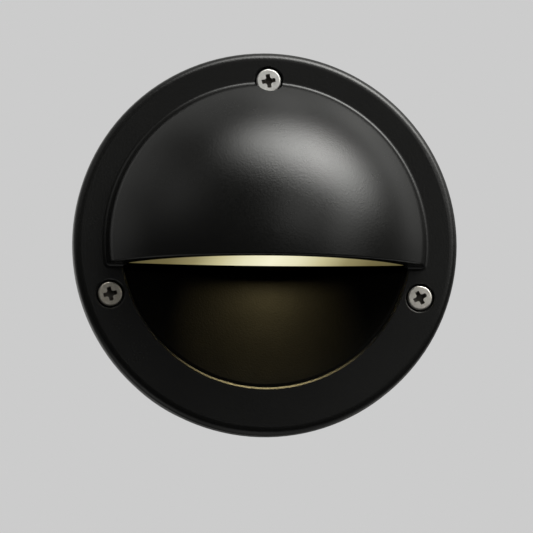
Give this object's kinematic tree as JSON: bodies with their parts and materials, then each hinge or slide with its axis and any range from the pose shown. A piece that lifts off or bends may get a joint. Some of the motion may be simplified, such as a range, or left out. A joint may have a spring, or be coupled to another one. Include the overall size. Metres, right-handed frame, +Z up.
{
  "type": "recessed step light",
  "caption": "Round recessed outdoor step light with an eyelid hood over a concave glare bowl, a lit lens under the hood and a flange held by recessed screws.",
  "frame": {"origin": "on the axis of the round wall body, in the wall plane where the flange's back face rests", "axes": "+Y into the wall along the body's axis, so the hood and screw heads face -Y; +Z up; +X to the right as seen from the front"},
  "size_m": [0.12, 0.117, 0.12],
  "materials": {
    "powder_coat": "fine textured black powder coat on die-cast aluminium",
    "bowl_coat": "satin black paint on die-cast aluminium",
    "opal_lens": "frosted warm white polycarbonate, lit",
    "silicone": "grey silicone",
    "white_moulding": "white reflective moulding",
    "circuit_board": "white solder mask on an aluminium core",
    "led_phosphor": "yellow phosphor over white package",
    "thermal_pad": "soft blue-grey gap filler",
    "bare_aluminium": "bare cast aluminium",
    "zinc_steel": "zinc plated steel",
    "stainless": "A2 stainless steel",
    "body_nylon": "glass-filled nylon, moulded",
    "gland_nylon": "moulded nylon",
    "insert_brass": "turned brass",
    "sealing_rubber": "black EPDM",
    "driver_case": "potted black case",
    "terminal_plastic": "white polyamide",
    "red_lead": "red PVC insulation",
    "black_lead": "black PVC insulation"
  },
  "bodies": {
    "fixture": {"faceplate": "powder_coat", "glare_bowl": "bowl_coat", "lens": "opal_lens", "lens_gasket": "silicone", "reflector_tray": "white_moulding", "led_board": "circuit_board", "leds": "led_phosphor", "thermal_pad": "thermal_pad", "heat_sink": "bare_aluminium", "board_screws": "zinc_steel", "heat_sink_screws": "zinc_steel", "bowl_screws": "zinc_steel", "housing": "body_nylon", "threaded_inserts": "insert_brass", "face_gasket": "silicone", "wall_gasket": "sealing_rubber", "chassis_plate": "zinc_steel", "chassis_screws": "zinc_steel", "driver_module": "driver_case", "driver_screws": "zinc_steel", "terminal_block": "terminal_plastic", "terminal_screws": "insert_brass", "block_screw": "zinc_steel", "led_lead_positive": "red_lead", "led_lead_negative": "black_lead", "supply_lead_positive": "red_lead", "supply_lead_negative": "black_lead", "gland_body": "gland_nylon", "gland_o_ring": "sealing_rubber", "gland_locknut": "gland_nylon", "gland_seal": "sealing_rubber", "gland_cap_nut": "gland_nylon"},
    "washer_top": {"screw_washer_top": "sealing_rubber"},
    "screw_top": {"face_screw_top": "stainless"},
    "washer_left": {"screw_washer_left": "sealing_rubber"},
    "screw_left": {"face_screw_left": "stainless"},
    "washer_right": {"screw_washer_right": "sealing_rubber"},
    "screw_right": {"face_screw_right": "stainless"}
  },
  "joints": [
    {"name": "screw_top_travel", "type": "slide", "parent": "fixture", "child": "washer_top", "axis": [0, -1, 0], "range_m": [0, 0.0084]},
    {"name": "screw_top_turn", "type": "hinge", "parent": "washer_top", "child": "screw_top", "pos_m": [0.0008, -0.006, 0.05099], "axis": [0, -1, 0], "range_deg": [0, 4320]},
    {"name": "screw_left_travel", "type": "slide", "parent": "fixture", "child": "washer_left", "axis": [0, -1, 0], "range_m": [0, 0.0084]},
    {"name": "screw_left_turn", "type": "hinge", "parent": "washer_left", "child": "screw_left", "pos_m": [-0.04834, -0.006, -0.01627], "axis": [0, -1, 0], "range_deg": [0, 4320]},
    {"name": "screw_right_travel", "type": "slide", "parent": "fixture", "child": "washer_right", "axis": [0, -1, 0], "range_m": [0, 0.0084]},
    {"name": "screw_right_turn", "type": "hinge", "parent": "washer_right", "child": "screw_right", "pos_m": [0.04822, -0.006, -0.0166], "axis": [0, -1, 0], "range_deg": [0, 4320]}
  ],
  "couplings": [
    {"joint": "screw_top_turn", "follows": "screw_top_travel", "rad_per_m": 8976},
    {"joint": "screw_left_turn", "follows": "screw_left_travel", "rad_per_m": 8976},
    {"joint": "screw_right_turn", "follows": "screw_right_travel", "rad_per_m": 8976}
  ]
}
